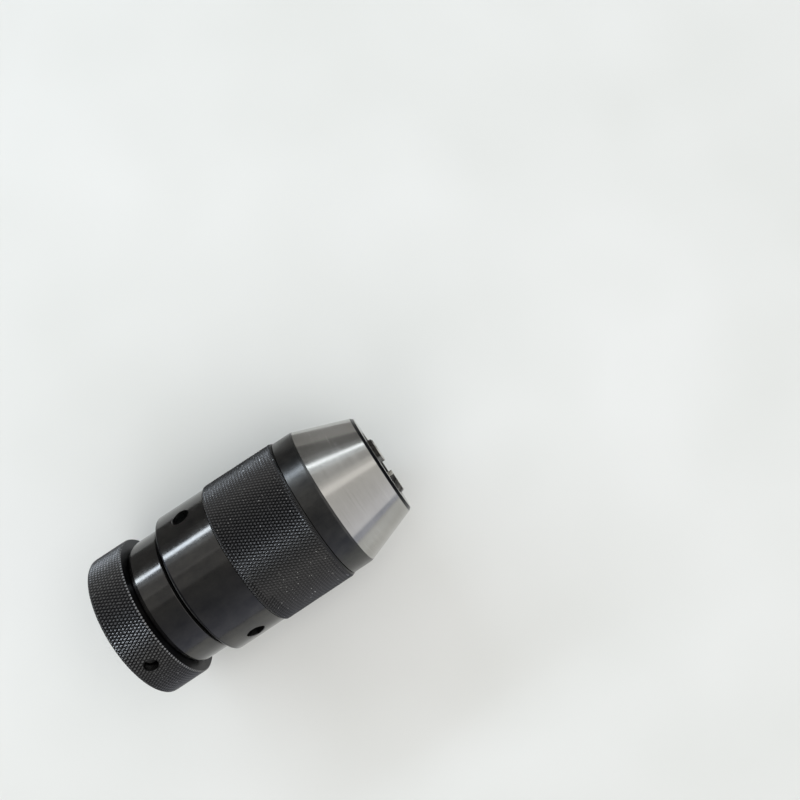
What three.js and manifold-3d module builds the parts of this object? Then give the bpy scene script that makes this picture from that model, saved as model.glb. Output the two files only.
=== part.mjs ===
// Keyless drill chuck, 16 mm capacity, lying on its side. Millimetres, +Z up.
//
// The chuck's axis runs along +X, with the nose and jaws at +X and the taper socket at -X. The
// origin is on the table, under the middle of the chuck's length. Inside the group every piece is
// placed by h, its distance from the rear face along the axis, and by its radius r.
//
// Turning the knurled sleeve against the rear ring feeds a left-hand drive screw along the axis.
// The screw's head carries the three jaws by their T-feet, and the jaws slide down slots that slope
// at JAW_ANGLE, so that they close on the tool as they come forward.
import * as THREE from 'three';
import { mergeVertices } from 'three/addons/utils/BufferGeometryUtils.js';
import Module from 'manifold-3d';

const wasm = await Module();
wasm.setup();

// ---- driving dimensions -----------------------------------------------------------------------
const GAP = 0.3;               // clearance between neighbouring pieces
const SMOOTH = 60;             // sides of a large turned surface
const COARSE = 36;             // sides of a small or hidden turned surface
const OUTSIDE_R = 30;          // cutting tools reach out to here, past the largest radius

const LENGTH = 106.4;          // rear face to nose face
const SLEEVE_R = 28.5;         // over the knurl: the largest radius
const BAND_R = 27.8;           // plain band in front of the knurl
const RING_R = 27.7;           // rear ring, over its knurl
const NECK_R = 24.62;          // neck between ring and collar

const NECK_START = 0.4;
const RING_END = 13.4;         // front end of the rear ring
const RING_BORE_R = 22.3;
const RELIEF_END = 15.1;       // groove in the neck in front of the ring
const RELIEF_R = 23.4;
const NECK_END = 25.7;
const BORE_LAND = 3.0;         // bearing lands at the ends of the neck's and the collar's bores
const BORE_RELIEF_R = 20.0;    // the bores are relieved to this radius between the lands
const SHANK_R = 17.0;          // body's outside, behind its flange
const PIN_H = 6.0;             // dowel that locks the ring, from the rear face
const PIN_PHI = 30.5;          // its direction, degrees from the top towards -Y
const PIN_D = 4.2;
const PIN_R = [15.5, 24.0];    // from its foot in the body to its outer end

const TAPER_MOUTH_D = 17.17;   // Jacobs no. 6 taper socket
const TAPER_END_D = 15.85;
const TAPER_DEPTH = 25.4;

const COLLAR_START = 27.6;
const COLLAR_END = 47.2;
const COLLAR_ROUND = 0.8;      // rounding at the collar's rear edge
const SPANNER_H = 38.0;        // pin-spanner holes in the collar
const SPANNER_D = 6.6;
const SPANNER_DEPTH = 6.0;
const SPANNER_PHI = [-56, 64, 184];
const JOINT_R = 25.6;          // spigots of collar and hood inside the sleeve
const SPIGOT_END = 57.6;       // front end of the collar's spigot
const HOOD_START = 58.2;       // rear end of the hood's spigot
const CAVITY_R = 23.6;         // hollow that the screw head and jaws work in
const SEAL_BORE_R = 18.2;

const BALLS = 16;
const BALL_D = 4.4;
const BALL_CIRCLE_R = 20.4;
const BALL_H = 46.5;
const CAGE_R = [17.5, 23.3];
const CAGE_HALF = 0.9;         // half thickness of the cage
const REAR_RACE = [42.3, 44.9];  // flat back, grooved face
const FRONT_RACE = [50.7, 48.1];
const FLANGE_START = 51.1;     // body's flange, which takes the clamping force
const FLANGE_R = 23.4;
const BODY_END = 57.0;
const RELIEF_START = 28.4;     // clearance bore behind the nut thread
const NUT_START = 42.5;        // the body's nut thread

const SLEEVE_START = 47.5;
const SLEEVE_END = 76.4;
const BAND_START = 76.7;
const CONE_START = 84.1;
const CONE_END = 105.3;        // then a narrow chamfer to the nose face
const CONE_END_R = 20.2;
const FACE_R = 19.3;
const MOUTH_R = 13.6;          // opening in the nose face

const JAW_ANGLE = THREE.MathUtils.degToRad(25);
const JAW_PHI = [90, -30, -150];
const JAW_FRONT = LENGTH + 1.5;
const GRIP_R = 4.0;            // jaws at rest hold an 8 mm shank
const GRIP_START = 88.0;       // rear end of the gripping edge
const JAW_HEAD_W = 8.1;        // T-section: head, then web
const JAW_WEB_W = 6.0;
const JAW_HEAD_T = 3.9;
const JAW_TIP_R = 12.5;        // back of the jaw at its front face
const JAW_BACK_R = 18.9;       // limit of the jaw's back further in
const JAW_BACK_CURVE = 13.0;
const ROOT_GROOVE_H = 0.7;     // grooves that relieve the corners between web and head
const ROOT_GROOVE_D = 0.5;
const JAW_REACH = [60, 116];   // stations behind and in front of the whole jaw, for its cutters
const GRIP_FLAT = 0.25;        // half width of the flat along the gripping edge
const GRIP_SLOPE = 60;         // degrees from the middle plane to each flank of the edge
const WEB_TOP_START = 72.0;    // the web tapers from the foot to its full depth here
const WEB_LOW_START = 80.0;    // and to the gripping edge from here
const FOOT_R = [10.5, 18.5];   // T-foot in the screw's head
const FOOT_H = [68.1, 71.1];
const FOOT_W = 9.6;
const SLOT_INNER_R = 6.2;      // bottom of the T-slots in the screw's head
const SLOT_OUTER_R = 24.0;

const GUIDE_START = 85.2;
const GUIDE_END = 102.0;
const GUIDE_BORE_R = 8.4;      // lets a 16 mm shank pass
const GUIDE_GAP = 0.4;         // clearance to the hood's cone
const SEGMENT_HALF = 59.5;     // half of a segment's angle, degrees
const KEY_H = 92.0;            // dowels that key the guide segments to the hood
const KEY_D = 4.0;
const KEY_R = [14.5, 23.2];

const SCREW_HEAD = [66.5, 76.0];
const SCREW_HEAD_R = 20.0;
const SCREW_CORE_R = 9.0;
const SCREW_LENGTH = 28.0;     // threaded shank behind the head
const THREAD_R = 9.6;          // centre line of the round thread
const THREAD_T = 1.25;         // radius of the thread's section
const THREAD_PITCH = 5.0;      // left-hand
const THREAD_STEPS = 15;       // per turn

const BLACK = { color: 0x24262a, roughness: 0.32, metalness: 0.9 };
const KNURLED = { color: 0x1d1f22, roughness: 0.5, metalness: 0.85 };
const GROUND = { color: 0xb9b6ac, roughness: 0.3, metalness: 1.0 };
const JAW_STEEL = { color: 0xa8a39a, roughness: 0.28, metalness: 1.0 };
const STEEL = { color: 0x77787a, roughness: 0.4, metalness: 1.0 };
const BEARING = { color: 0xc8c9cc, roughness: 0.15, metalness: 1.0 };
const BRASS = { color: 0xb08d45, roughness: 0.35, metalness: 1.0 };
const FELT = { color: 0x4a463f, roughness: 0.95, metalness: 0.0 };

// ---- helpers ----------------------------------------------------------------------------------
const X = new THREE.Vector3(1, 0, 0);
const Y = new THREE.Vector3(0, 1, 0);
const Z = new THREE.Vector3(0, 0, 1);
const radians = THREE.MathUtils.degToRad;
const tanJaw = Math.tan(JAW_ANGLE);

// A closed three.js geometry as a manifold solid, with its faces pointing out.
function solid(geometry) {
  const bare = geometry.index ? geometry.toNonIndexed() : geometry.clone();
  bare.deleteAttribute('normal');
  bare.deleteAttribute('uv');
  const merged = mergeVertices(bare, 1e-4);
  const position = merged.attributes.position;
  const corner = (i) => new THREE.Vector3().fromBufferAttribute(position, i);
  const triangles = [];
  let volume = 0;
  for (let i = 0; i < merged.index.count; i += 3) {
    const [a, b, c] = [0, 1, 2].map((k) => merged.index.getX(i + k));
    if (a === b || b === c || c === a) continue;
    triangles.push([a, b, c]);
    volume += corner(a).dot(corner(b).cross(corner(c)));
  }
  if (volume < 0) triangles.forEach((t) => t.reverse());
  return new wasm.Manifold(new wasm.Mesh({
    numProp: 3,
    vertProperties: new Float32Array(position.array),
    triVerts: new Uint32Array(triangles.flat()),
  }));
}

// Back to a three.js geometry for display.
function geometryOf(manifold) {
  const mesh = manifold.getMesh();
  const geometry = new THREE.BufferGeometry();
  geometry.setAttribute('position', new THREE.BufferAttribute(new Float32Array(mesh.vertProperties), 3));
  geometry.setIndex(new THREE.BufferAttribute(new Uint32Array(mesh.triVerts), 1));
  geometry.computeVertexNormals();
  return geometry;
}

// A profile of [h, r] points turned about the axis; a ring's profile closes on itself.
function turned(profile, sides = SMOOTH) {
  const points = profile.map(([h, r]) => new THREE.Vector2(r, h));
  const onAxis = profile[0][1] === 0 && profile[profile.length - 1][1] === 0;
  if (!onAxis) points.push(points[0].clone());
  return solid(new THREE.LatheGeometry(points, sides).rotateZ(-Math.PI / 2));
}

// A side view of [h, z] points, made into a plate of this width across the axis.
function plate(points, width) {
  const shape = new THREE.Shape(points.map(([h, z]) => new THREE.Vector2(h, z)));
  const geometry = new THREE.ExtrudeGeometry(shape, { depth: width, bevelEnabled: false });
  geometry.applyMatrix4(new THREE.Matrix4().makeBasis(X, Z, Y.clone().negate()));
  return solid(geometry.translate(0, width / 2, 0));
}

// An end view of [y, z] points, drawn out along the axis from h0 to h1.
function bar(points, h0, h1) {
  const shape = new THREE.Shape(points.map(([y, z]) => new THREE.Vector2(y, z)));
  const geometry = new THREE.ExtrudeGeometry(shape, { depth: h1 - h0, bevelEnabled: false });
  geometry.applyMatrix4(new THREE.Matrix4().makeBasis(Y, Z, X));
  return solid(geometry.translate(h0, 0, 0));
}

// A radial cylinder at the top of the chuck, from r0 to r1.
function radialPin(h, diameter, r0, r1, sides = 20) {
  const geometry = new THREE.CylinderGeometry(diameter / 2, diameter / 2, r1 - r0, sides);
  return solid(geometry.rotateX(Math.PI / 2).translate(h, 0, (r0 + r1) / 2));
}

// Turn a solid about the chuck's axis: degrees from the top towards -Y.
const swung = (manifold, degrees) => manifold.rotate([degrees, 0, 0]);

// Quarter-round profile points about a centre, between two angles from the axis direction.
function arc(centreH, centreR, radius, from, to, steps = 4) {
  return Array.from({ length: steps + 1 }, (_, i) => {
    const angle = radians(from + ((to - from) * i) / steps);
    return [centreH + radius * Math.cos(angle), centreR + radius * Math.sin(angle)];
  });
}

const chuck = new THREE.Group();
chuck.position.set(-JAW_FRONT / 2, 0, SLEEVE_R);

function add(name, manifold, look, parent = chuck) {
  const mesh = new THREE.Mesh(geometryOf(manifold), new THREE.MeshStandardMaterial(look));
  mesh.name = name;
  parent.add(mesh);
  return mesh;
}

// ---- thread -----------------------------------------------------------------------------------
// Centre line of a left-hand helix about the axis.
class LeftHelix extends THREE.Curve {
  constructor(h0, h1) {
    super();
    this.h0 = h0;
    this.h1 = h1;
  }

  getPoint(t, target = new THREE.Vector3()) {
    const h = this.h0 + (this.h1 - this.h0) * t;
    const angle = (-2 * Math.PI * (h - SCREW_HEAD[0])) / THREAD_PITCH;
    return target.set(h, THREAD_R * Math.cos(angle), THREAD_R * Math.sin(angle));
  }
}

// A round thread of the given section radius between two stations.
function thread(h0, h1, sectionRadius) {
  const section = new THREE.Shape();
  section.absarc(0, 0, sectionRadius, 0, 2 * Math.PI);
  const steps = Math.round((THREAD_STEPS * (h1 - h0)) / THREAD_PITCH);
  return solid(new THREE.ExtrudeGeometry(section, {
    steps, curveSegments: 4, bevelEnabled: false, extrudePath: new LeftHelix(h0, h1),
  }));
}

// ---- fixed pieces: body, neck, rear ring --------------------------------------------------------
const pinHole = swung(radialPin(PIN_H, PIN_D + 2 * GAP, PIN_R[0] - GAP, OUTSIDE_R), PIN_PHI);

function makeBody() {
  const outside = turned([
    [0, 0], [0, SHANK_R - 0.5], [0.5, SHANK_R], [FLANGE_START, SHANK_R],
    [FLANGE_START, FLANGE_R], [BODY_END, FLANGE_R], [BODY_END, 0],
  ], COARSE);
  const lead = 0.6;
  const socket = turned([
    [-1, 0], [-1, TAPER_MOUTH_D / 2 + lead + 1], [lead, TAPER_MOUTH_D / 2],
    [TAPER_DEPTH, TAPER_END_D / 2], [TAPER_DEPTH, 0],
  ], COARSE);
  const reliefR = THREAD_R + THREAD_T + 0.6;
  const nutBore = turned([
    [RELIEF_START, 0], [RELIEF_START, reliefR], [NUT_START, reliefR], [NUT_START + 1, THREAD_R],
    [BODY_END - 1.2, THREAD_R], [BODY_END + 0.8, THREAD_R + 2], [BODY_END + 0.8, 0],
  ], COARSE);
  const groove = thread(NUT_START - 2, BODY_END + 3, THREAD_T + 0.35);
  return outside.subtract(socket).subtract(nutBore).subtract(groove).subtract(pinHole);
}

// Profile points of a bore over the shank, relieved between its lands, from the front to the rear.
function relievedBore(front, rear) {
  const bore = SHANK_R + GAP;
  return [
    [front, bore], [front - BORE_LAND, bore], [front - BORE_LAND, BORE_RELIEF_R],
    [rear + BORE_LAND, BORE_RELIEF_R], [rear + BORE_LAND, bore], [rear, bore],
  ];
}

function makeNeck() {
  const step = RING_END + GAP;
  const sleeveOn = turned([
    [NECK_START, RING_BORE_R - GAP], [step, RING_BORE_R - GAP], [step, RELIEF_R],
    [RELIEF_END, RELIEF_R], [RELIEF_END, NECK_R], [NECK_END - 0.3, NECK_R], [NECK_END, NECK_R - 0.3],
    ...relievedBore(NECK_END, NECK_START),
  ], 56);
  return sleeveOn.subtract(pinHole);
}

function makeRing() {
  const chamfer = 0.4;
  const ring = turned([
    [0, RING_BORE_R], [0, RING_R - chamfer], [chamfer, RING_R], [RING_END - chamfer, RING_R],
    [RING_END, RING_R - chamfer], [RING_END, RING_BORE_R],
  ]);
  return ring.subtract(pinHole);
}

add('body', makeBody(), STEEL);
add('neck', makeNeck(), BLACK);
add('rear_ring', makeRing(), KNURLED);
add('ring_pin', swung(radialPin(PIN_H, PIN_D, ...PIN_R, 16), PIN_PHI), STEEL);

// ---- ball thrust bearing between collar and flange ----------------------------------------------
const RACE_R = [SHANK_R + GAP, CAVITY_R];
const grooveR = BALL_D / 2 + 0.15;

// A race washer from its flat back to its grooved face; the balls lie beyond the face.
function makeRace(back, face) {
  const side = Math.sign(face - back);
  const edge = THREE.MathUtils.radToDeg(Math.acos(Math.abs(BALL_H - face) / grooveR));
  const groove = arc(0, BALL_CIRCLE_R, grooveR, -edge, edge).map(([h, r]) => [BALL_H - side * h, r]);
  const [inner, outer] = RACE_R;
  return turned([[back, inner], [face, inner], ...groove, [face, outer], [back, outer]], COARSE);
}

function makeCage() {
  const [rear, front] = [BALL_H - CAGE_HALF, BALL_H + CAGE_HALF];
  const [inner, outer] = CAGE_R;
  let ring = turned([[rear, inner], [front, inner], [front, outer], [rear, outer]], COARSE);
  for (let i = 0; i < BALLS; i += 1) {
    const pocket = new THREE.CylinderGeometry(BALL_D / 2 + GAP, BALL_D / 2 + GAP, 4, 10);
    const placed = solid(pocket.rotateZ(Math.PI / 2).translate(BALL_H, 0, BALL_CIRCLE_R));
    ring = ring.subtract(swung(placed, (360 * i) / BALLS));
  }
  return ring;
}

add('rear_race', makeRace(...REAR_RACE), BEARING);
add('front_race', makeRace(...FRONT_RACE), BEARING);
add('ball_cage', makeCage(), BRASS);
for (let i = 0; i < BALLS; i += 1) {
  const angle = (2 * Math.PI * i) / BALLS;
  const sphere = solid(new THREE.IcosahedronGeometry(BALL_D / 2, 1));
  const ball = add(`ball_${String(i + 1).padStart(2, '0')}`, sphere, BEARING);
  ball.position.set(BALL_H, -BALL_CIRCLE_R * Math.sin(angle), BALL_CIRCLE_R * Math.cos(angle));
}

// ---- turning pieces: collar, sleeve, hood -------------------------------------------------------
function makeCollar() {
  const rounded = arc(COLLAR_START + COLLAR_ROUND, BAND_R - COLLAR_ROUND, COLLAR_ROUND, 180, 90);
  const seat = REAR_RACE[0] - GAP;
  let collar = turned([
    ...rounded, [COLLAR_END, BAND_R], [COLLAR_END, JOINT_R], [SPIGOT_END, JOINT_R],
    [SPIGOT_END, CAVITY_R + GAP], [seat, CAVITY_R + GAP], ...relievedBore(seat, COLLAR_START),
  ]);
  const hole = radialPin(SPANNER_H, SPANNER_D, BAND_R - SPANNER_DEPTH, OUTSIDE_R, 24);
  for (const phi of SPANNER_PHI) collar = collar.subtract(swung(hole, phi));
  return collar;
}

const makeSleeve = () => turned([
  [SLEEVE_START, SLEEVE_R - 0.3], [SLEEVE_START + 0.3, SLEEVE_R], [SLEEVE_END - 1.4, SLEEVE_R],
  [SLEEVE_END, SLEEVE_R - 0.6], [SLEEVE_END, JOINT_R + GAP], [SLEEVE_START, JOINT_R + GAP],
]);

const hoodBore = (h) => MOUTH_R + (LENGTH - h) * tanJaw;
const boreStart = LENGTH - (CAVITY_R - MOUTH_R) / tanJaw;

function makeHood() {
  let hood = turned([
    [HOOD_START, JOINT_R], [BAND_START, JOINT_R], [BAND_START, BAND_R - 0.3], [BAND_START + 0.3, BAND_R],
    [CONE_START, BAND_R], [CONE_END, CONE_END_R], [LENGTH, FACE_R], [LENGTH, MOUTH_R + 0.3],
    [LENGTH - 0.3, hoodBore(LENGTH - 0.3)], [boreStart, CAVITY_R], [HOOD_START, CAVITY_R],
  ]);
  const keyHole = radialPin(KEY_H, KEY_D + 2 * GAP, KEY_R[0], KEY_R[1] + GAP);
  for (const phi of JAW_PHI) hood = hood.subtract(swung(keyHole, phi + 60));
  return hood;
}

add('collar', makeCollar(), BLACK);
add('sleeve', makeSleeve(), KNURLED);
add('hood', makeHood(), GROUND);
const sealH = [NECK_END + GAP, COLLAR_START - GAP];
add('dust_seal', turned([
  [sealH[0], SEAL_BORE_R], [sealH[0], RELIEF_R], [sealH[1], RELIEF_R], [sealH[1], SEAL_BORE_R],
], COARSE), FELT);

// ---- jaws, their guide and the drive screw ------------------------------------------------------
// Radius of the jaw's back and of its T-head's inner ledge at a station, before the limit.
const jawBack = (h) => JAW_TIP_R + (JAW_FRONT - h) * tanJaw;
const backLimitH = JAW_FRONT - (JAW_BACK_R - JAW_TIP_R) / tanJaw;
const ledgeLimitH = JAW_FRONT - (JAW_BACK_R - JAW_TIP_R + JAW_HEAD_T) / tanJaw;

// Long cylinder lying along the jaw's path, which rounds its back.
function backCylinder() {
  const path = new THREE.Vector3(Math.cos(JAW_ANGLE), 0, -Math.sin(JAW_ANGLE));
  const outward = new THREE.Vector3(Math.sin(JAW_ANGLE), 0, Math.cos(JAW_ANGLE));
  const centre = new THREE.Vector3(JAW_FRONT, 0, JAW_TIP_R).addScaledVector(outward, -JAW_BACK_CURVE);
  const turn = new THREE.Quaternion().setFromUnitVectors(Y, path);
  const geometry = new THREE.CylinderGeometry(JAW_BACK_CURVE, JAW_BACK_CURVE, 160, 60);
  return solid(geometry.applyQuaternion(turn).translate(centre.x, centre.y, centre.z));
}

// The two grooves along the jaw, under the ledges of its head.
function rootGrooves() {
  const ledge = (h) => jawBack(h) - JAW_HEAD_T;
  const [h0, h1] = JAW_REACH;
  const band = (above, below) => [
    [h0, ledge(h0) + above], [h1, ledge(h1) + above], [h1, ledge(h1) - below], [h0, ledge(h0) - below],
  ];
  const kept = plate(band(1, ROOT_GROOVE_H + 1), JAW_WEB_W - 2 * ROOT_GROOVE_D);
  return plate(band(0, ROOT_GROOVE_H), JAW_WEB_W + 1).subtract(kept);
}

function makeJaw() {
  const head = plate([
    [JAW_FRONT, JAW_TIP_R - JAW_HEAD_T], [JAW_FRONT, JAW_TIP_R], [backLimitH, JAW_BACK_R],
    [ledgeLimitH, JAW_BACK_R],
  ], JAW_HEAD_W);
  const web = plate([
    [JAW_FRONT, GRIP_R], [JAW_FRONT, JAW_TIP_R], [backLimitH, JAW_BACK_R], [WEB_TOP_START, JAW_BACK_R],
    [FOOT_H[1], FOOT_R[1]], [FOOT_H[0], FOOT_R[1]], [FOOT_H[0], FOOT_R[0]], [WEB_LOW_START, FOOT_R[0]],
    [GRIP_START, GRIP_R],
  ], JAW_WEB_W);
  const side = JAW_WEB_W / 2 + 1;
  const shoulder = GRIP_R + (side - GRIP_FLAT) / Math.tan(radians(GRIP_SLOPE));
  const edge = bar([
    [-GRIP_FLAT, GRIP_R], [GRIP_FLAT, GRIP_R], [side, shoulder],
    [side, OUTSIDE_R], [-side, OUTSIDE_R], [-side, shoulder],
  ], ...JAW_REACH);
  const foot = plate([
    [FOOT_H[0], FOOT_R[0]], [FOOT_H[1], FOOT_R[0]], [FOOT_H[1], FOOT_R[1]], [FOOT_H[0], FOOT_R[1]],
  ], FOOT_W);
  return web.intersect(edge).subtract(rootGrooves()).add(head).intersect(backCylinder()).add(foot);
}

// The T-shaped space that a jaw needs in the guide, all along its path.
function jawChannel() {
  const [h0, h1] = JAW_REACH;
  const back = (h) => jawBack(h) + 3;
  const ledge = (h) => jawBack(h) - JAW_HEAD_T - GAP;
  const wide = [[h0, ledge(h0)], [h1, ledge(h1)], [h1, back(h1)], [h0, back(h0)]];
  const narrow = [[h0, 0], [h1, 0], [h1, ledge(h1) + 1], [h0, ledge(h0) + 1]];
  return plate(wide, JAW_HEAD_W + 2 * GAP).add(plate(narrow, JAW_WEB_W + 2 * GAP));
}

// One of the three guide segments, made between the jaws at +60 and -60 degrees.
function makeGuideSegment() {
  const outerR = (h) => hoodBore(h) - GUIDE_GAP;
  const ring = turned([
    [GUIDE_START, GUIDE_BORE_R], [GUIDE_START, outerR(GUIDE_START)],
    [GUIDE_END, outerR(GUIDE_END)], [GUIDE_END, GUIDE_BORE_R],
  ]);
  const spread = OUTSIDE_R * Math.tan(radians(SEGMENT_HALF));
  const sector = bar([[0, 0], [spread, OUTSIDE_R], [-spread, OUTSIDE_R]], ...JAW_REACH);
  const hole = radialPin(KEY_H, KEY_D + 2 * GAP, KEY_R[0] - GAP, OUTSIDE_R);
  const channels = swung(jawChannel(), 60).add(swung(jawChannel(), -60));
  return ring.intersect(sector).subtract(channels).subtract(hole);
}

function makeScrew() {
  const [rear, front] = SCREW_HEAD;
  const tail = rear - SCREW_LENGTH;
  let screw = turned([
    [tail, 0], [tail, SCREW_CORE_R - 1], [tail + 1, SCREW_CORE_R], [rear, SCREW_CORE_R],
    [rear, SCREW_HEAD_R - 0.6], [rear + 0.6, SCREW_HEAD_R], [front - 0.6, SCREW_HEAD_R],
    [front, SCREW_HEAD_R - 0.6], [front, 0],
  ], COARSE).add(thread(tail + 2.4, rear - 2.4, THREAD_T));
  const slotOf = (h0, h1, width) => plate([
    [h0, SLOT_INNER_R], [h1, SLOT_INNER_R], [h1, SLOT_OUTER_R], [h0, SLOT_OUTER_R],
  ], width + 2 * GAP);
  const footSlot = slotOf(FOOT_H[0] - GAP, FOOT_H[1] + GAP, FOOT_W);
  const slot = slotOf(FOOT_H[1], front + 2, JAW_WEB_W).add(footSlot);
  for (const phi of JAW_PHI) screw = screw.subtract(swung(slot, phi));
  return screw;
}

const jaw = makeJaw();
const segment = makeGuideSegment();
const key = radialPin(KEY_H, KEY_D, KEY_R[0], KEY_R[1], 16);
JAW_PHI.forEach((phi, i) => {
  add(`jaw_${i + 1}`, swung(jaw, phi), JAW_STEEL);
  add(`guide_segment_${i + 1}`, swung(segment, phi + 60), BLACK);
  add(`guide_key_${i + 1}`, swung(key, phi + 60), STEEL);
});
add('drive_screw', makeScrew(), STEEL);

export default chuck;
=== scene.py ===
"""Looks of the keyless drill chuck: turned, knurled and ground steel on a pale studio floor."""

import math

import bmesh
import bpy
import numpy as np
from mathutils import Matrix, Vector


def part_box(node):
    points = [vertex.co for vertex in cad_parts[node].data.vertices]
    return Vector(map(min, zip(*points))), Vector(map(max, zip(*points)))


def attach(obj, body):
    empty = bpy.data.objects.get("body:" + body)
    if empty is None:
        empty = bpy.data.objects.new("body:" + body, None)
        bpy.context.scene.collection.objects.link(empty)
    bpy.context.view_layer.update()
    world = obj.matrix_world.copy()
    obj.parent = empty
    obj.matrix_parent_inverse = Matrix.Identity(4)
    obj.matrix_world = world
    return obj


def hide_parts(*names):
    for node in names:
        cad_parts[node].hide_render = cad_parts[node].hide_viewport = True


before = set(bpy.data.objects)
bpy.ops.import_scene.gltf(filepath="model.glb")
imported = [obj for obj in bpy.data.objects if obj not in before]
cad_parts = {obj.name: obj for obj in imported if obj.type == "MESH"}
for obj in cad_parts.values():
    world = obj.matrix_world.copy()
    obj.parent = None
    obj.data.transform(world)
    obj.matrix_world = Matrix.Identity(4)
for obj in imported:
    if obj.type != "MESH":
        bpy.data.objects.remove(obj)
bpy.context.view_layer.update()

# ---- where the chuck lies ---------------------------------------------------------------------
# Every turned piece is described in millimetres by h, its distance from the rear face along the
# axis, and r, its radius. The axis runs along +X at the height of the sleeve's centre.
MM = 0.001
SIDES = 256                       # sides of a turned surface
REAR_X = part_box("rear_ring")[0].x
AXIS_Z = (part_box("sleeve")[0].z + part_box("sleeve")[1].z) / 2

# ---- driving dimensions -----------------------------------------------------------------------
# outside, along h
RING_END = 13.4
NECK_START = 0.4
NECK_END = 25.7
COLLAR_START = 27.6
COLLAR_END = 47.2
SLEEVE_START = 47.5
SLEEVE_END = 76.6
BAND_START = 76.7
BAND_END = 84.1
CONE_START = 85.1
CONE_END = 105.3
LENGTH = 106.4                    # rear face to nose face

# outside radii
RING_R = 27.7
NECK_R = 24.62
BAND_R = 27.8                     # the collar and the band of the hood
SLEEVE_R = 28.5
CONE_R = 27.45
NOSE_R = 19.3
MOUTH_R = 13.9

# inside
SPIGOT_R = 25.6                   # the collar and the hood under the sleeve
SHANK_R = 17.0
BORE_R = 17.3                     # neck, collar and races over the shank
RELIEF_R = 20.0
LAND = 3.0                        # length of a bore's lands, between which it is relieved
SEAL_R = 23.4                     # also the groove beside the seal, and the flange of the body
RACE_R = 23.6
BALL_R = 2.2
BALL_CIRCLE_R = 20.4
BALL_H = 46.5
INNER_CONE_R = 13.6               # where the jaws' inner cone meets the nose face
JAW_SLOPE = math.tan(math.radians(25))

KNURL_DEPTH = 0.42
SLEEVE_KNURL = (145, 2.19)        # diamonds around, and length of a diamond along the axis
RING_KNURL = (141, 2.33)

# radial holes: distance along h, radius, and degrees from the top towards -Y
SPANNER_H = 38.0
SPANNER_HOLE_R = 3.3
SPANNER_PHI = (-56, 64, 184)
PIN_H = 6.0
PIN_HOLE_R = 2.4
PIN_PHI = 30.5
KEY_H = 92.0
KEY_HOLE_R = 2.3
JAW_BODIES = ("jaw_a", "jaw_b", "jaw_c")
JAW_PHI = (90, -30, -150)
KEY_PHI = tuple(phi + 60 for phi in JAW_PHI)

# camera: focal length and sensor in millimetres, places in metres, roll in degrees
LENS = 34.53
SENSOR = 36.0
EYE = (0.05999, 0.00239, 0.31289)
AIM = (0.07082, 0.01576, 0.0285)
ROLL = -33.33


# ---- materials --------------------------------------------------------------------------------
# Noise scales are per metre, and the heights of bumps are in metres.
def new_material(name):
    material = bpy.data.materials.new(name)
    material.use_nodes = True
    tree = material.node_tree
    return material, tree, tree.nodes["Principled BSDF"]


def node(tree, kind, inputs=None, **settings):
    made = tree.nodes.new(kind)
    for key, value in settings.items():
        setattr(made, key, value)
    for key, value in (inputs or {}).items():
        made.inputs[key].default_value = value
    return made


def object_coordinates(tree, scale):
    """Object coordinates in metres times a scale for each axis."""
    where = node(tree, "ShaderNodeTexCoord")
    mapping = node(tree, "ShaderNodeMapping", {"Scale": scale})
    tree.links.new(where.outputs["Object"], mapping.inputs["Vector"])
    return mapping.outputs["Vector"]


def noise(tree, scale, detail=3.0, rough=0.55):
    made = node(tree, "ShaderNodeTexNoise", {"Scale": 1.0, "Detail": detail, "Roughness": rough})
    tree.links.new(object_coordinates(tree, scale), made.inputs["Vector"])
    return made.outputs["Fac"]


def ranged(tree, value, low, high, from_low=0.3, from_high=0.7):
    made = node(tree, "ShaderNodeMapRange", {
        "From Min": from_low, "From Max": from_high, "To Min": low, "To Max": high})
    tree.links.new(value, made.inputs["Value"])
    return made.outputs["Result"]


def mixed(tree, factor, first, second):
    made = node(tree, "ShaderNodeMix", data_type="RGBA")
    made.inputs["A"].default_value = (*first, 1)
    made.inputs["B"].default_value = (*second, 1)
    tree.links.new(factor, made.inputs["Factor"])
    return made.outputs["Result"]


def summed(tree, first, second, operation="ADD"):
    made = node(tree, "ShaderNodeMath", operation=operation)
    tree.links.new(first, made.inputs[0])
    tree.links.new(second, made.inputs[1])
    return made.outputs["Value"]


def bump(tree, shader, height, distance):
    made = node(tree, "ShaderNodeBump", {"Distance": distance, "Strength": 1.0})
    tree.links.new(height, made.inputs["Height"])
    tree.links.new(made.outputs["Normal"], shader.inputs["Normal"])


def around_axis(tree, shader, anisotropic):
    """Metal whose fine lines run around the chuck's axis: highlights spread along the axis."""
    shader.inputs["Metallic"].default_value = 1.0
    shader.inputs["Anisotropic"].default_value = anisotropic
    shader.inputs["Anisotropic Rotation"].default_value = 0.25
    tangent = node(tree, "ShaderNodeTangent", direction_type="RADIAL", axis="X")
    tree.links.new(tangent.outputs["Tangent"], shader.inputs["Tangent"])


def turned_steel(name, light, dark, rough, lines, anisotropic=0.7):
    """Steel with fine turning or grinding lines around the axis."""
    material, tree, shader = new_material(name)
    around_axis(tree, shader, anisotropic)
    rings = noise(tree, (5200, 60, 60), 4.0)
    patches = noise(tree, (90, 90, 90), 5.0)
    tone = summed(tree, ranged(tree, rings, 0, 0.5), ranged(tree, patches, 0, 0.5))
    tree.links.new(mixed(tree, tone, dark, light), shader.inputs["Base Color"])
    both = summed(tree, ranged(tree, rings, rough[0], rough[1]), ranged(tree, patches, -0.03, 0.05))
    tree.links.new(both, shader.inputs["Roughness"])
    bump(tree, shader, rings, lines)
    return material


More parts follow.
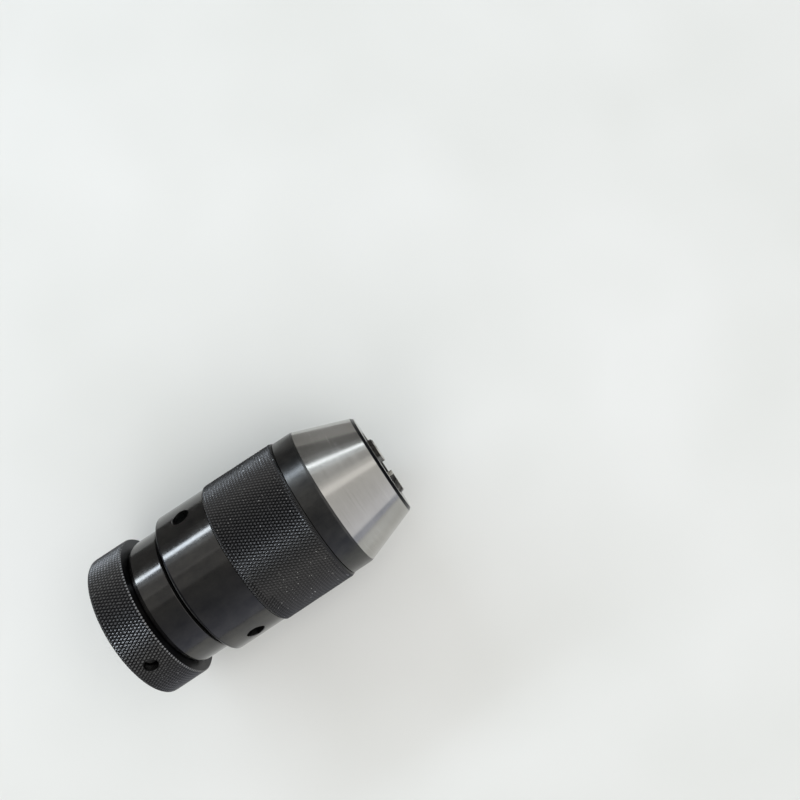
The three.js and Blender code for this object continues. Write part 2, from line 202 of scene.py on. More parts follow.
def black_oxide(name, colour, rough, lines):
    """Blued steel: dark, glossy, with soft handling marks and faint turning lines."""
    material, tree, shader = new_material(name)
    around_axis(tree, shader, 0.7)
    rings = noise(tree, (3800, 40, 40), 3.0)
    smears = noise(tree, (130, 200, 200), 6.0, 0.65)
    handled = tuple(1.5 * c * warmth for c, warmth in zip(colour, (1.02, 1.0, 0.93)))
    tone = mixed(tree, ranged(tree, smears, 0, 1), colour, handled)
    tree.links.new(tone, shader.inputs["Base Color"])
    both = summed(tree, ranged(tree, smears, rough[0], rough[1]), ranged(tree, rings, -0.02, 0.03))
    tree.links.new(both, shader.inputs["Roughness"])
    bump(tree, shader, rings, lines)
    return material


def radius_mask(tree, low, high):
    """0 to 1 as the distance from the chuck's axis, in millimetres, goes from low to high."""
    where = node(tree, "ShaderNodeTexCoord")
    centred = node(tree, "ShaderNodeVectorMath", operation="SUBTRACT")
    centred.inputs[1].default_value = (0, 0, AXIS_Z)
    flat = node(tree, "ShaderNodeVectorMath", operation="MULTIPLY")
    flat.inputs[1].default_value = (0, 1, 1)
    length = node(tree, "ShaderNodeVectorMath", operation="LENGTH")
    tree.links.new(where.outputs["Object"], centred.inputs[0])
    tree.links.new(centred.outputs["Vector"], flat.inputs[0])
    tree.links.new(flat.outputs["Vector"], length.inputs[0])
    return ranged(tree, length.outputs["Value"], 0, 1, low * MM, high * MM)


def knurled_steel(name, crest_r, groove, crest_wear_and_highlight):
    """Blackened knurl: darker in the grooves as dirt and painted shade, lighter on the crests as wear
    and painted highlight, with a few specks of dust.
    """
    material, tree, shader = new_material(name)
    shader.inputs["Metallic"].default_value = 1.0
    grain = noise(tree, (2600, 2600, 2600), 3.0)
    specks = ranged(tree, noise(tree, (1500, 1500, 1500), 1.0), 0, 1, 0.732, 0.772)
    crest = radius_mask(tree, crest_r - 0.9 * KNURL_DEPTH, crest_r)
    tone = summed(tree, crest, ranged(tree, grain, 0.75, 1.15), "MULTIPLY")
    plain = mixed(tree, tone, groove, crest_wear_and_highlight)
    dusty = node(tree, "ShaderNodeMix", data_type="RGBA")
    dusty.inputs["B"].default_value = (0.60, 0.60, 0.58, 1)
    tree.links.new(plain, dusty.inputs["A"])
    tree.links.new(specks, dusty.inputs["Factor"])
    tree.links.new(dusty.outputs["Result"], shader.inputs["Base Color"])
    tree.links.new(ranged(tree, grain, 0.30, 0.40), shader.inputs["Roughness"])
    bump(tree, shader, grain, 0.000003)
    return material


def plain_material(name, first, second, rough, metallic=1.0, scale=600.0):
    material, tree, shader = new_material(name)
    shader.inputs["Metallic"].default_value = metallic
    grain = noise(tree, (scale, scale, scale), 4.0)
    tone = mixed(tree, ranged(tree, grain, 0, 1), first, second)
    tree.links.new(tone, shader.inputs["Base Color"])
    tree.links.new(ranged(tree, grain, rough[0], rough[1]), shader.inputs["Roughness"])
    bump(tree, shader, grain, 0.00001)
    return material


LOOKS = {
    "black": black_oxide("black_oxide", (0.064, 0.063, 0.064), (0.14, 0.21), 0.000002),
    "satin": black_oxide("black_oxide_satin", (0.058, 0.058, 0.059), (0.31, 0.38), 0.000002),
    # painted shade: a darker copy of the black oxide, for places in shade between parts
    "painted_shade": black_oxide("black_oxide_painted_shade", (0.018, 0.018, 0.021), (0.30, 0.40), 0.000002),
    # a far darker copy of the black oxide, for the nose chamfer
    "rim": black_oxide("black_oxide_rim", (0.007, 0.007, 0.009), (0.30, 0.40), 0.000002),
    # worn bare steel on edges, painted brighter and more diffuse as a glint
    "wear_and_glint": plain_material(
        "worn_edge_and_glint", (0.13, 0.13, 0.13), (0.32, 0.32, 0.325), (0.45, 0.60), metallic=0.6, scale=2600),
    # knurls: dirt and painted shade in the grooves, wear and painted highlights on the crests, brighter
    # on the ring
    "knurl": knurled_steel(
        "knurled_black", SLEEVE_R, (0.036, 0.0356, 0.036), (0.138, 0.136, 0.136)),
    "ring_knurl": knurled_steel(
        "knurled_black_ring", RING_R, (0.024, 0.0237, 0.024), (0.25, 0.247, 0.247)),
    "ground": turned_steel(
        "ground_steel", (0.48, 0.47, 0.45), (0.35, 0.342, 0.325), (0.16, 0.24), 0.0000005),
    "jaw": plain_material(
        "jaw_steel", (0.50, 0.48, 0.44), (0.58, 0.56, 0.52), (0.24, 0.34), scale=900),
    # painted dark reflection: a far darker copy of the jaw steel, for the backs of the jaws
    "jaw_back_painted_dark": plain_material(
        "jaw_back_steel_painted_dark", (0.028, 0.026, 0.024), (0.052, 0.048, 0.044), (0.24, 0.34), scale=900),
    "drilled": plain_material(
        "drilled_steel", (0.12, 0.12, 0.12), (0.20, 0.20, 0.195), (0.26, 0.36), scale=900),
    "steel": turned_steel(
        "machined_steel", (0.46, 0.46, 0.47), (0.36, 0.36, 0.37), (0.30, 0.42), 0.000004),
    "bearing": plain_material("bearing_steel", (0.66, 0.67, 0.69), (0.62, 0.63, 0.65), (0.08, 0.13)),
    "brass": plain_material("cage_brass", (0.62, 0.45, 0.18), (0.52, 0.37, 0.14), (0.28, 0.40)),
    "felt": plain_material(
        "seal_felt", (0.07, 0.07, 0.068), (0.11, 0.11, 0.106), (0.85, 0.98), metallic=0.0, scale=3500),
}
LOOK_ORDER = list(LOOKS)


# ---- turned surfaces --------------------------------------------------------------------------
def arc(centre_h, centre_r, radius, start, end, steps):
    """Points of an arc, by angle in degrees from the direction of +h."""
    angles = np.radians(np.linspace(start, end, steps + 1))
    return [(centre_h + radius * math.cos(a), centre_r + radius * math.sin(a)) for a in angles]


def rounding(before, here, after, radius, steps):
    """Points of the arc that rounds the corner here, between the corners before and after it."""
    before = (before - here) / np.linalg.norm(before - here)
    after = (after - here) / np.linalg.norm(after - here)
    half = math.acos(max(-1.0, min(1.0, float(before @ after)))) / 2
    reach = radius / math.tan(half)
    middle = (before + after) / np.linalg.norm(before + after)
    centre = here + middle * radius / math.sin(half)
    first = here + before * reach - centre
    last = here + after * reach - centre
    turn = math.atan2(first[0] * last[1] - first[1] * last[0], float(first @ last))
    points = []
    for a in np.arange(steps + 1) * turn / steps:
        spin = np.array([[math.cos(a), -math.sin(a)], [math.sin(a), math.cos(a)]])
        points.append(tuple(centre + spin @ first))
    return points


def eased(corners, steps=4):
    """A closed profile whose (h, r, e) corners are rounded to radius e; (h, r) corners stay."""
    places = [np.array(corner[:2], float) for corner in corners]
    points = []
    for i, corner in enumerate(corners):
        if len(corner) == 2:
            points.append(corner)
        else:
            after = places[(i + 1) % len(corners)]
            points += rounding(places[i - 1], places[i], after, corner[2], steps)
    return points


class Profile:
    """A closed profile in (h, r), with the smooth normal at each end of each segment.

    Segments whose middle lies in a (low h, high h, low r, high r, look) box of looks take its look.
    """

    def __init__(self, points, look, looks=()):
        self.points = np.array(points, float)
        ends = np.roll(self.points, -1, axis=0)
        along = ends - self.points
        self.length = np.linalg.norm(along, axis=1)
        self.along = along / self.length[:, None]
        x, y = self.points.T
        area = float(np.sum(x * np.roll(y, -1) - np.roll(x, -1) * y))
        side = 1 if area > 0 else -1
        self.normal = side * np.stack([self.along[:, 1], -self.along[:, 0]], axis=1)
        before = np.roll(self.normal, 1, axis=0)
        self.starts = self.corner_normals(before, np.roll(self.length, 1), self.normal, self.length)
        self.stops = np.roll(self.starts, -1, axis=0)
        sharp = np.sum(before * self.normal, axis=1) < math.cos(math.radians(28))
        self.starts[sharp] = self.normal[sharp]
        self.stops[np.roll(sharp, -1)] = self.normal[np.roll(sharp, -1)]
        self.looks = [look] * len(self.points)
        for h0, h1, r0, r1, name in looks:
            for k, middle in enumerate(self.points + along / 2):
                if h0 <= middle[0] <= h1 and r0 <= middle[1] <= r1:
                    self.looks[k] = name

    @staticmethod
    def corner_normals(before, before_length, after, after_length):
        """A long face keeps its own normal where a short one meets it."""
        mean = before + after
        mean /= np.maximum(np.linalg.norm(mean, axis=1), 1e-9)[:, None]
        long_before = before_length > 3 * after_length
        long_after = after_length > 3 * before_length
        mean[long_before] = before[long_before]
        mean[long_after] = after[long_after]
        return mean


def to_world(h, r, angle):
    """Points in metres; the angle runs from the top towards -Y."""
    h, r, angle = np.broadcast_arrays(h, r, angle)
    return np.stack([
        REAR_X + h * MM, -r * np.sin(angle) * MM, AXIS_Z + r * np.cos(angle) * MM], axis=-1)


def mesh_object(name, vertices, faces):
    mesh = bpy.data.meshes.new(name)
    mesh.from_pydata([tuple(v) for v in vertices], [], [tuple(int(i) for i in f) for f in faces])
    made = bpy.data.objects.new(name, mesh)
    bpy.context.scene.collection.objects.link(made)
    return made


def ring_quads(rows, sides):
    """Faces of a closed tube of rows by sides points."""
    faces = []
    for i in range(rows):
        for j in range(sides):
            a, b = i * sides, ((i + 1) % rows) * sides
            faces.append((a + j, a + (j + 1) % sides, b + (j + 1) % sides, b + j))
    return faces


def point_out(mesh):
    """Turns the faces of a closed mesh to the outside."""
    work = bmesh.new()
    work.from_mesh(mesh)
    bmesh.ops.recalc_face_normals(work, faces=work.faces)
    if work.calc_volume(signed=True) < 0:
        bmesh.ops.reverse_faces(work, faces=work.faces)
    work.to_mesh(mesh)
    work.free()


def lathe(name, profile, sides=SIDES):
    angle = np.arange(sides) * 2 * math.pi / sides
    grid = to_world(profile.points[:, :1], profile.points[:, 1:], angle[None, :])
    made = mesh_object(name, grid.reshape(-1, 3), ring_quads(len(profile.points), sides))
    point_out(made.data)
    return made


def loop_table(mesh):
    """Vertex of each loop, face of each loop, and face centres and normals as arrays."""
    loops, faces = len(mesh.loops), len(mesh.polygons)
    vertex, total = np.empty(loops, int), np.empty(faces, int)
    centre, normal = np.empty(faces * 3), np.empty(faces * 3)
    mesh.loops.foreach_get("vertex_index", vertex)
    mesh.polygons.foreach_get("loop_total", total)
    mesh.polygons.foreach_get("center", centre)
    mesh.polygons.foreach_get("normal", normal)
    return vertex, np.repeat(np.arange(faces), total), centre.reshape(-1, 3), normal.reshape(-1, 3)


def to_profile(points):
    """h, r and the outward direction of points given in metres."""
    flat = points[:, 1:] - np.array([0, AXIS_Z])
    r = np.linalg.norm(flat, axis=1)
    return (points[:, 0] - REAR_X) / MM, r / MM, flat / np.maximum(r, 1e-9)[:, None]


def nearest_segment(profile, centre, normal, tilt):
    """The profile segment that each face lies on, within 0.03 mm and tilt degrees, or -1."""
    h, r, out = to_profile(centre)
    flat = np.stack([normal[:, 0], np.sum(normal[:, 1:] * out, axis=1)], axis=1)
    best, found = np.full(len(h), 0.03), np.full(len(h), -1)
    for k in range(len(profile.points)):
        offset = np.stack([h, r], axis=1) - profile.points[k]
        t = np.clip(offset @ profile.along[k], 0, profile.length[k])
        away = np.linalg.norm(offset - t[:, None] * profile.along[k], axis=1)
        good = (away < best) & (flat @ profile.normal[k] > math.cos(math.radians(tilt)))
        best[good], found[good] = away[good], k
    return found


def shade_turned(made, profile, other="steel", tilt=6):
    """Materials and exact smooth normals for the faces on the profile; other faces get one look."""
    mesh = made.data
    for look in LOOK_ORDER:
        mesh.materials.append(LOOKS[look])
    mesh.polygons.foreach_set("use_smooth", [True] * len(mesh.polygons))
    mesh.set_sharp_from_angle(angle=math.radians(32))
    vertex, face, centre, normal = loop_table(mesh)
    found = nearest_segment(profile, centre, normal, tilt)
    names = [profile.looks[k] if k >= 0 else other for k in found]
    mesh.polygons.foreach_set("material_index", [LOOK_ORDER.index(n) for n in names])
    set_normals(mesh, profile, vertex, found[face])
    return made


def set_normals(mesh, profile, vertex, segment):
    """Gives each loop the profile's own normal where it lies on a segment (-1: none)."""
    places = np.empty(len(mesh.vertices) * 3)
    mesh.vertices.foreach_get("co", places)
    h, r, out = to_profile(places.reshape(-1, 3)[vertex])
    corner = np.empty(len(vertex) * 3)
    mesh.corner_normals.foreach_get("vector", corner)
    corner = corner.reshape(-1, 3)
    on = segment >= 0
    k = segment[on]
    offset = np.stack([h[on], r[on]], axis=1) - profile.points[k]
    t = np.clip(np.sum(offset * profile.along[k], axis=1) / profile.length[k], 0, 1)[:, None]
    flat = (1 - t) * profile.starts[k] + t * profile.stops[k]
    corner[on] = np.concatenate([flat[:, :1], flat[:, 1:] * out[on]], axis=1)
    corner /= np.maximum(np.linalg.norm(corner, axis=1), 1e-9)[:, None]
    mesh.normals_split_custom_set(corner.tolist())


def cut(made, cutter):
    """Subtracts the cutter, then removes it."""
    modifier = made.modifiers.new("cut", "BOOLEAN")
    modifier.operation = "DIFFERENCE"
    modifier.solver = "EXACT"
    modifier.object = cutter
    graph = bpy.context.evaluated_depsgraph_get()
    mesh = bpy.data.meshes.new_from_object(made.evaluated_get(graph))
    made.modifiers.clear()
    made.data = mesh
    bpy.data.objects.remove(cutter)


def radial_cutter(h, phi, levels, sides=64):
    """A turned cutter across the axis; levels are (distance from the axis, radius) pairs."""
    angle = np.arange(sides) * 2 * math.pi / sides
    points = []
    for distance, radius in levels:
        for a in angle:
            points.append(Vector((h + radius * math.cos(a), radius * math.sin(a), distance)))
    swing = Matrix.Rotation(math.radians(phi), 3, "X")
    points = [swing @ p for p in points]
    points = [(REAR_X + p.x * MM, p.y * MM, AXIS_Z + p.z * MM) for p in points]
    last = (len(levels) - 1) * sides
    faces = [tuple(range(sides)), tuple(reversed(range(last, last + sides)))]
    for i in range(len(levels) - 1):
        for j in range(sides):
            a, b = i * sides, (i + 1) * sides
            faces.append((a + j, a + (j + 1) % sides, b + (j + 1) % sides, b + j))
    made = mesh_object("cutter", points, faces)
    point_out(made.data)
    return made


# ---- knurl ------------------------------------------------------------------------------------
def knurl_height(i, j):
    """Height of a diamond knurl, 0 in a groove and 1 on a crest, on a grid of quarter diamonds."""
    first, second = np.mod(i + j, 4) / 4, np.mod(j - i, 4) / 4
    ridge = np.minimum(1 - np.abs(2 * first - 1), 1 - np.abs(2 * second - 1))
    return np.minimum(1, ridge * 1.25)


def knurled_rows(line, h0, h1, step):
    """Stations and radii along the outer line, with the knurl's row number, or -1 where it is plain."""
    even = np.arange(h0, h1 + step / 2, step)
    corners = [h for h, _ in line if np.min(np.abs(even - h)) > 0.02]
    hs = np.sort(np.concatenate([even, corners]))
    rs = np.interp(hs, [h for h, _ in line], [r for _, r in line])
    knurled_here = (hs >= h0) & (hs <= h1)
    return hs, rs, np.where(knurled_here, (hs - h0) / step, -1)


def knurled(name, outer, inner, h0, h1, pattern, root):
    """A ring whose outer surface from h0 to h1 is knurled down to the root radius."""
    count, length = pattern
    sides = count * 4
    hs, rs, rows = knurled_rows(outer, h0, h1, length / 4)
    j = np.arange(sides)
    radius = rs[:, None] * np.ones(sides)
    for k in np.flatnonzero(rows >= 0):
        radius[k] = np.minimum(radius[k], root + KNURL_DEPTH * knurl_height(rows[k], j))
    height = np.concatenate([hs, [h for h, _ in inner]])[:, None]
    radius = np.concatenate([radius, [[r] * sides for _, r in inner]])
    rows = np.concatenate([rows, [-1] * len(inner)])
    grid = to_world(height, radius, (j * 2 * math.pi / sides)[None, :])
    made = mesh_object(name, grid.reshape(-1, 3), knurl_faces(rows, sides))
    point_out(made.data)
    return made


def knurl_faces(rows, sides):
    """Quads on plain rows; on knurled rows, triangles whose shared edge follows the groove."""
    faces, count = [], len(rows)
    for i in range(count):
        a, b = i * sides, ((i + 1) % count) * sides
        plain = rows[i] < 0 or rows[(i + 1) % count] < 0
        for j in range(sides):
            p, q, s, t = a + j, a + (j + 1) % sides, b + (j + 1) % sides, b + j
            if plain:
                faces.append((p, q, s, t))
            elif (rows[i] + j + 1) % 4 == 0:
                faces += [(p, q, t), (q, s, t)]
            else:
                faces += [(p, q, s), (p, s, t)]
    return faces


# ---- pieces -----------------------------------------------------------------------------------
def place(made, body, slot, *nodes):
    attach(made, body)
    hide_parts(*nodes)
    return made


def make_ring():
    chamfer, ease, bore_r = 0.45, 0.15, 22.3
    edge_r, root_r = RING_R - chamfer, RING_R - KNURL_DEPTH
    outer = [(0.0, edge_r), (chamfer, RING_R), (RING_END - chamfer, RING_R), (RING_END, edge_r)]
    inner = [(RING_END, bore_r + ease), (RING_END - ease, bore_r), (ease, bore_r), (0.0, bore_r + ease)]
    profile = Profile(outer + inner, "black", [
        # the chamfers: worn bare steel painted brighter as a glint
        (0.01, 0.5, 27, 28, "wear_and_glint"), (RING_END - 0.5, RING_END - 0.01, 27, 28, "wear_and_glint"),
        # the front face: black oxide painted darker as the shade between the ring and the neck
        (RING_END - 0.01, RING_END, 22.4, 27.3, "painted_shade")])
    made = knurled("ring_knurled", outer, inner, ease, RING_END - ease, RING_KNURL, root_r)
    cut(made, radial_cutter(PIN_H, PIN_PHI, [(15, PIN_HOLE_R), (27.2, PIN_HOLE_R), (28.4, 3.3)]))
    shade_turned(made, profile, other="ring_knurl", tilt=3)
    h, r, _ = to_profile(loop_table(made.data)[2])
    hole_wall = (r < root_r - 0.08) & has_look(made.data, "ring_knurl")
    # knurl crests on the front chamfer: worn steel painted brighter as a glint
    front_crests_wear_and_glint = (h > RING_END - 0.46) & (h < RING_END - ease) & (r > 27.4)
    repaint(made.data, "drilled", hole_wall)
    repaint(made.data, "wear_and_glint", front_crests_wear_and_glint)
    return place(made, "arbor_unit", "knurled_black", "rear_ring")


def has_look(mesh, look):
    index = np.empty(len(mesh.polygons), int)
    mesh.polygons.foreach_get("material_index", index)
    return index == LOOK_ORDER.index(look)


def repaint(mesh, look, chosen):
    """Gives the chosen faces another look."""
    for i in np.flatnonzero(chosen):
        mesh.polygons[i].material_index = LOOK_ORDER.index(look)


def make_sleeve():
    chamfer, front, front_r, bore_r = 0.4, 75.3, 27.95, 25.9
    outer = [
        (SLEEVE_START, SLEEVE_R - chamfer), (SLEEVE_START + chamfer, SLEEVE_R), (front, SLEEVE_R),
        (SLEEVE_END, front_r)]
    inner = [(SLEEVE_END, bore_r), (SLEEVE_START, bore_r)]
    # The rear chamfer is worn bare steel painted brighter as a glint.
    profile = Profile(outer + inner, "black", [
        (SLEEVE_START, SLEEVE_START + chamfer, 28, 29, "wear_and_glint"), (front, SLEEVE_END, 27, 29, "knurl")])
    made = knurled(
        "sleeve_knurled", outer, inner, SLEEVE_START + 0.1, SLEEVE_END - 0.4, SLEEVE_KNURL,
        SLEEVE_R - KNURL_DEPTH)
    shade_turned(made, profile, other="knurl", tilt=3)
    return place(made, "sleeve_unit", "knurled_black", "sleeve")


def relieved_bore(start, end, edge):
    """Bore over the shank from its front end back, with a land at each end."""
    return [
        (end, BORE_R, edge), (end - LAND, BORE_R, 0.1), (end - LAND, RELIEF_R),
        (start + LAND, RELIEF_R), (start + LAND, BORE_R, 0.1)]


def make_neck():
    ring_seat_r, shoulder = 22.0, 15.1
    ring_stop = RING_END + 0.3
    outside = [
        (NECK_START, BORE_R, 0.1), (NECK_START, ring_seat_r, 0.1), (ring_stop, ring_seat_r),
        (ring_stop, SEAL_R, 0.1), (shoulder, SEAL_R, 0.2), (shoulder, NECK_R, 0.3),
        (NECK_END, NECK_R, 0.7)]
    profile = Profile(eased(outside + relieved_bore(NECK_START, NECK_END, 0.1)), "black")
    made = lathe("neck_turned", profile)
    cut(made, radial_cutter(PIN_H, PIN_PHI, [(12, PIN_HOLE_R), (30, PIN_HOLE_R)]))
    shade_turned(made, profile)
    return place(made, "arbor_unit", "black_oxide", "neck")


def make_body():
    centre_r = 0.02                   # where the ends of the socket and the nut close in on the axis
    socket_end, nut_start, thread_start, flange_start, end = 25.4, 28.4, 43.5, 51.1, 57.0
    relief_r, thread_r = 11.4, 9.6
    socket = [(0.0, 9.2, 0.1), (0.6, 8.585, 0.05), (socket_end, 7.925), (socket_end, centre_r)]
    nut = [
        (nut_start, centre_r), (nut_start, relief_r), (thread_start - 1, relief_r),
        (thread_start, thread_r), (end - 1.2, thread_r, 0.1), (end, thread_r + 1.2, 0.1)]
    outside = [
        (end, SEAL_R, 0.4), (flange_start, SEAL_R, 0.3), (flange_start, SHANK_R), (0.0, SHANK_R, 0.5)]
    profile = Profile(eased(socket + nut + outside), "steel")
    made = lathe("body_turned", profile)
    shade_turned(made, profile)
    return place(made, "arbor_unit", "plain_steel", "body")


def make_collar():
    race_seat, seat_r, spigot_end, edge = 42.0, 23.9, 57.6, 0.8
    outside = [
        (COLLAR_START, BAND_R, edge), (COLLAR_END, BAND_R, 0.12), (COLLAR_END, SPIGOT_R),
        (spigot_end, SPIGOT_R, 0.3), (spigot_end, seat_r)]
    bore = [*relieved_bore(COLLAR_START, race_seat, 0.2), (COLLAR_START, BORE_R, 0.3)]
    # The rear rounded edge is black oxide painted darker as the shade of the groove by the neck.
    rounded_edge = (COLLAR_START - 0.01, COLLAR_START + edge, 26.5, BAND_R, "painted_shade")
    profile = Profile(eased([*outside, (race_seat, seat_r), *bore], 8), "black", [rounded_edge])
    made = lathe("collar_turned", profile, 288)
    hole = [(21.8, SPANNER_HOLE_R), (27.45, SPANNER_HOLE_R), (28.05, 3.75)]
    for phi in SPANNER_PHI:
        cut(made, radial_cutter(SPANNER_H, phi, hole))
    shade_turned(made, profile, other="drilled")
    return place(made, "sleeve_unit", "black_oxide", "collar")


def make_hood():
    start, bore_r = 58.2, RACE_R
    outside = [
        (start, SPIGOT_R, 0.3), (BAND_START, SPIGOT_R), (BAND_START, BAND_R, 0.25),
        (BAND_END, BAND_R, 0.6), (CONE_START - 0.15, CONE_R + 0.045), (CONE_START, CONE_R),
        (CONE_END, 20.2, 0.08), (LENGTH, NOSE_R, 0.08), (LENGTH, MOUTH_R, 0.05), (LENGTH - 0.3, 13.74)]
    inside = [(LENGTH - (bore_r - INNER_CONE_R) / JAW_SLOPE, bore_r), (start, bore_r, 0.2)]
    looks = [
        (CONE_START - 0.1, CONE_END + 0.03, 20, 27.6, "ground"),
        # the nose chamfer takes a far darker copy of the black oxide
        (CONE_END, LENGTH - 0.02, NOSE_R, 20.3, "rim"),
        (LENGTH - 0.02, LENGTH + 0.6, 13.8, NOSE_R + 0.05, "ground")]
    profile = Profile(eased(outside + inside), "satin", looks)
    made = lathe("hood_turned", profile, 320)
    for phi in KEY_PHI:
        cut(made, radial_cutter(KEY_H, phi, [(12, KEY_HOLE_R), (23.5, KEY_HOLE_R)]))
    shade_turned(made, profile, other="satin")
    return place(made, "sleeve_unit", "ground_steel", "hood")


def make_race(name, back, face, body, cad_node):
    """A race from its back to its face, which has a round groove for the balls."""
    side = 1 if face > back else -1
    groove = [(BALL_H - side * h, r) for h, r in arc(0, BALL_CIRCLE_R, 2.35, -47, 47, 12)]
    near_bore = [(back, BORE_R, 0.2), (face, BORE_R, 0.2)]
    near_rim = [(face, RACE_R, 0.2), (back, RACE_R, 0.2)]
    profile = Profile(eased(near_bore + groove + near_rim), "bearing")
    made = shade_turned(lathe(name, profile, 128), profile)
    return place(made, body, "bearing_steel", cad_node)


def make_seal():
    start, end, inner_r = NECK_END + 0.3, COLLAR_START - 0.3, 18.2
    corners = [(start, inner_r, 0.3), (start, SEAL_R, 0.3), (end, SEAL_R, 0.3), (end, inner_r, 0.3)]
    profile = Profile(eased(corners), "felt")
    made = shade_turned(lathe("seal_ring", profile, 128), profile)
    return place(made, "arbor_unit", "seal_felt", "dust_seal")


def jaw_looks(mesh, phi):
    """Ground front face and grip, a back of ground steel painted darker as a dark reflection, and black
    flanks.
    """
    out = Vector((0, -math.sin(math.radians(phi)), math.cos(math.radians(phi))))
    for look in ("jaw_back_painted_dark", "black"):
        mesh.materials.append(LOOKS[look])
    for face in mesh.polygons:
        lift = face.normal.dot(out)
        if face.normal.x < 0.9 and lift > -0.4:
            face.material_index = 1 if lift > 0.5 else 2


def cleaned_copy(cad_node, name, look):
    """A copy of a CAD node whose flat faces are each one face."""
    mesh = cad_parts[cad_node].data.copy()
    mesh.materials.clear()
    mesh.materials.append(LOOKS[look])
    work = bmesh.new()
    work.from_mesh(mesh)
    bmesh.ops.remove_doubles(work, verts=work.verts, dist=1e-6)
    bmesh.ops.dissolve_limit(
        work, angle_limit=math.radians(1), verts=work.verts, edges=work.edges)
    work.to_mesh(mesh)
    work.free()
    made = bpy.data.objects.new(name, mesh)
    bpy.context.scene.collection.objects.link(made)
    return made


def refined(cad_node, name, look, edge):
    """A copy of a CAD node's flat-sided shape with its edges eased."""
    made = cleaned_copy(cad_node, name, look)
    bevel = made.modifiers.new("edges", "BEVEL")
    bevel.width = edge * MM
    bevel.segments = 2
    bevel.limit_method = "ANGLE"
    bevel.angle_limit = math.radians(30)
    bevel.harden_normals = True
    graph = bpy.context.evaluated_depsgraph_get()
    final = bpy.data.meshes.new_from_object(made.evaluated_get(graph))
    made.modifiers.clear()
    made.data = final
    final.polygons.foreach_set("use_smooth", [True] * len(final.polygons))
    final.set_sharp_from_angle(angle=math.radians(35))
    return made


def make_small_pieces():
    for i, (body, phi) in enumerate(zip(JAW_BODIES, JAW_PHI), 1):
        jaw = refined(f"jaw_{i}", f"jaw_ground_{i}", "jaw", 0.12)
        jaw_looks(jaw.data, phi)
        segment = refined(f"guide_segment_{i}", f"guide_cut_{i}", "satin", 0.12)
        key = refined(f"guide_key_{i}", f"key_dowel_{i}", "steel", 0.15)
        place(jaw, body, "jaw_steel", f"jaw_{i}")
        place(segment, "sleeve_unit", "black_oxide", f"guide_segment_{i}")
        place(key, "sleeve_unit", "plain_steel", f"guide_key_{i}")
    place(refined("ring_pin", "pin_dowel", "drilled", 0.2), "arbor_unit", "plain_steel", "ring_pin")
    place(refined("drive_screw", "screw_cut", "steel", 0.12), "screw", "plain_steel", "drive_screw")
    place(refined("ball_cage", "cage_cut", "brass", 0.1), "ball_set", "cage_brass", "ball_cage")


def make_balls():
    for cad_node in sorted(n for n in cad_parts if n.startswith("ball_") and n != "ball_cage"):
        low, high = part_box(cad_node)
        work = bmesh.new()
        bmesh.ops.create_icosphere(work, subdivisions=4, radius=BALL_R * MM)
        bmesh.ops.translate(work, verts=work.verts, vec=(low + high) / 2)
        mesh = bpy.data.meshes.new(cad_node + "_ground")
        work.to_mesh(mesh)
        work.free()
        mesh.polygons.foreach_set("use_smooth", [True] * len(mesh.polygons))
        mesh.materials.append(LOOKS["bearing"])
        made = bpy.data.objects.new(cad_node + "_ground", mesh)
        bpy.context.scene.collection.objects.link(made)
        place(made, "ball_set", "bearing_steel", cad_node)


# ---- stage ------------------------------------------------------------------------------------
def make_floor():
    material, tree, shader = new_material("studio_floor")
    cloud = noise(tree, (9, 9, 9), 2.0)
    tone = mixed(tree, ranged(tree, cloud, 0, 1), (0.74, 0.743, 0.717), (0.80, 0.80, 0.782))
    tree.links.new(tone, shader.inputs["Base Color"])
    shader.inputs["Roughness"].default_value = 0.8
    bpy.ops.mesh.primitive_plane_add(size=6, location=(0, 0, 0))
    floor = bpy.context.object
    floor.name = "studio_floor"
    floor.data.materials.append(material)


def make_card(name, x0, x1, y, height, shade):
    """An upright card beside the chuck, from x0 to x1, seen only in reflections; sizes in metres."""
    material, _, shader = new_material(name)
    shader.inputs["Base Color"].default_value = (shade, 0.985 * shade, 0.96 * shade, 1)
    shader.inputs["Roughness"].default_value = 1.0
    foot = 0.001
    corners = [(x0, y, foot), (x1, y, foot), (x1, y, height), (x0, y, height)]
    card = mesh_object(name, corners, [(0, 1, 2, 3)])
    card.data.materials.append(material)
    card.visible_camera = False
    card.visible_diffuse = False
    card.visible_shadow = False


def area_light(name, direction, distance, size, radiance, colour=(1, 1, 1), glossy=True, shift=0.0):
    """A rectangular light of this radiance, in a direction from the chuck, facing it.

    Shift moves it along the axis.
    """
    aim = -Vector(direction).normalized()
    data = bpy.data.lights.new(name, "AREA")
    data.shape = "RECTANGLE"
    data.size, data.size_y = size
    data.energy = radiance * math.pi * size[0] * size[1]
    data.color = colour
    lamp = bpy.data.objects.new(name, data)
    lamp.matrix_world = Matrix.Translation(Vector((shift, 0, AXIS_Z)) - aim * distance) @ facing(aim)
    lamp.visible_glossy = glossy
    bpy.context.scene.collection.objects.link(lamp)


def facing(aim):
    """Rotation whose -Z points along aim and whose X is as near the world's X as it can be."""
    z_axis = -aim
    x_axis = Vector((1, 0, 0)) - z_axis * z_axis.x
    x_axis.normalize()
    y_axis = z_axis.cross(x_axis)
    return Matrix((x_axis, y_axis, z_axis)).transposed().to_4x4()


def across(degrees, forward=0.0):
    """A direction this many degrees from the top towards -Y, leaning forward to the nose."""
    angle = math.radians(degrees)
    return math.tan(math.radians(forward)), -math.sin(angle), math.cos(angle)


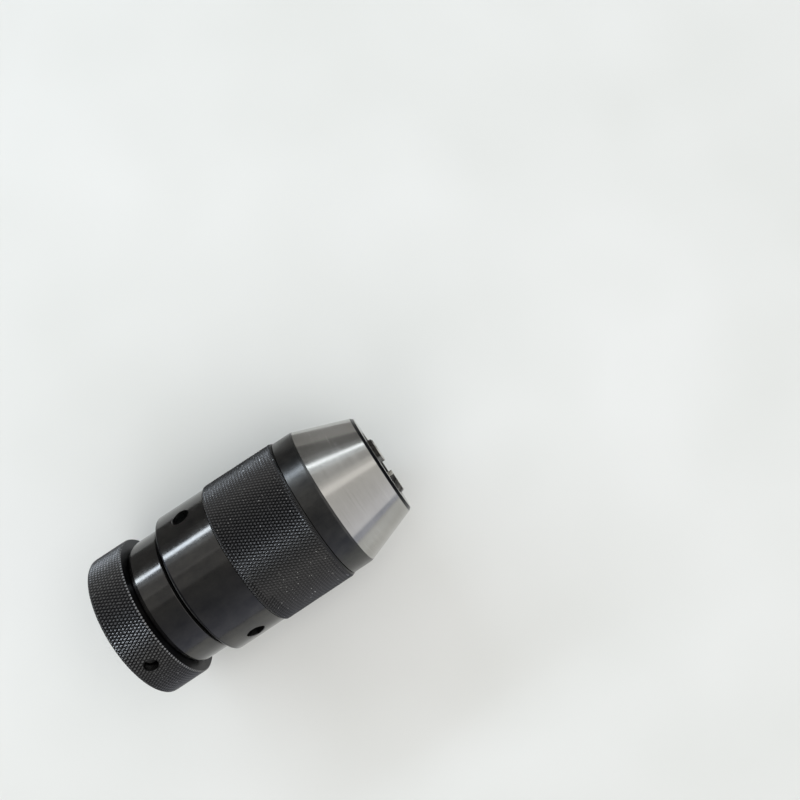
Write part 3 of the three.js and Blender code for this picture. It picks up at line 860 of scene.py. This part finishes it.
def make_lights():
    blue, cool, warm = (0.80, 0.90, 1.0), (0.88, 0.95, 1.0), (1.0, 0.985, 0.95)
    area_light("tube", across(-61), 1.6, (2.6, 0.17), 13.6, blue, shift=-1.0)
    area_light("tube_front", across(-61), 1.6, (2.4, 0.17), 3.3, cool, shift=1.5)
    area_light("tube_glow", across(-52), 1.7, (5.2, 0.24), 0.7, cool)
    area_light("window", across(-38), 1.1, (2.6, 0.45), 0.42, (1.0, 1.0, 0.98))
    area_light("window_top", across(-17), 1.1, (2.6, 0.45), 0.20, (1.0, 1.0, 0.98))
    area_light("front_panel", across(28, 38), 1.2, (0.8, 2.2), 0.60, warm)
    area_light("front_edge", across(-11, 38), 1.15, (0.8, 0.2), 0.35, warm)
    area_light("fill", across(24), 1.6, (3.2, 3.2), 0.63, (1.0, 0.998, 0.965), glossy=False)
    area_light("corner", (-0.7, -0.45, 0.6), 0.75, (0.6, 0.6), 0.8, (1.0, 0.99, 0.96), glossy=False)


def make_world():
    """A pale room: darker overhead and on the +Y side, and cooler on the -Y side."""
    world = bpy.data.worlds.new("studio")
    bpy.context.scene.world = world
    world.use_nodes = True
    tree = world.node_tree
    where = node(tree, "ShaderNodeTexCoord")
    split = node(tree, "ShaderNodeSeparateXYZ")
    tree.links.new(where.outputs["Generated"], split.inputs["Vector"])
    height = ranged(tree, split.outputs["Z"], 0.66, 0.25, 0.0, 0.8)
    shade = ranged(tree, split.outputs["Y"], 0.0, 0.30, 0.2, 0.95)
    backdrop = tree.nodes["Background"]
    tree.links.new(summed(tree, height, shade, "SUBTRACT"), backdrop.inputs["Strength"])
    warmth = ranged(tree, split.outputs["Y"], 0, 1, -0.9, 0.0)
    tint = mixed(tree, warmth, (0.90, 0.94, 1.08), (1.0, 1.0, 0.985))
    tree.links.new(tint, backdrop.inputs["Color"])


def make_camera():
    data = bpy.data.cameras.new("camera")
    data.sensor_width = SENSOR
    data.lens = LENS
    data.clip_start = 0.01
    eye = Vector(EYE)
    aim = (Vector(AIM) - eye).normalized()
    level = aim.cross(Vector((0, 1, 0))).normalized()
    upright = level.cross(aim)
    roll = math.radians(ROLL)
    right = math.cos(roll) * level + math.sin(roll) * upright
    up = math.cos(roll) * upright - math.sin(roll) * level
    camera = bpy.data.objects.new("camera", data)
    camera.matrix_world = Matrix.Translation(eye) @ Matrix((right, up, -aim)).transposed().to_4x4()
    bpy.context.scene.collection.objects.link(camera)
    bpy.context.scene.camera = camera


make_ring()
make_neck()
make_body()
make_collar()
make_sleeve()
make_hood()
make_race("race_rear_turned", 42.3, 44.9, "sleeve_unit", "rear_race")
make_race("race_front_turned", 50.7, 48.1, "arbor_unit", "front_race")
make_seal()
make_small_pieces()
make_balls()
make_floor()
make_card("near_card", x0=0.022, x1=0.085, y=0.048, height=0.038, shade=0.60)
make_card("far_card", x0=-0.20, x1=0.20, y=0.090, height=0.064, shade=0.25)
make_lights()
make_world()
make_camera()
bpy.context.scene.view_settings.view_transform = "Standard"
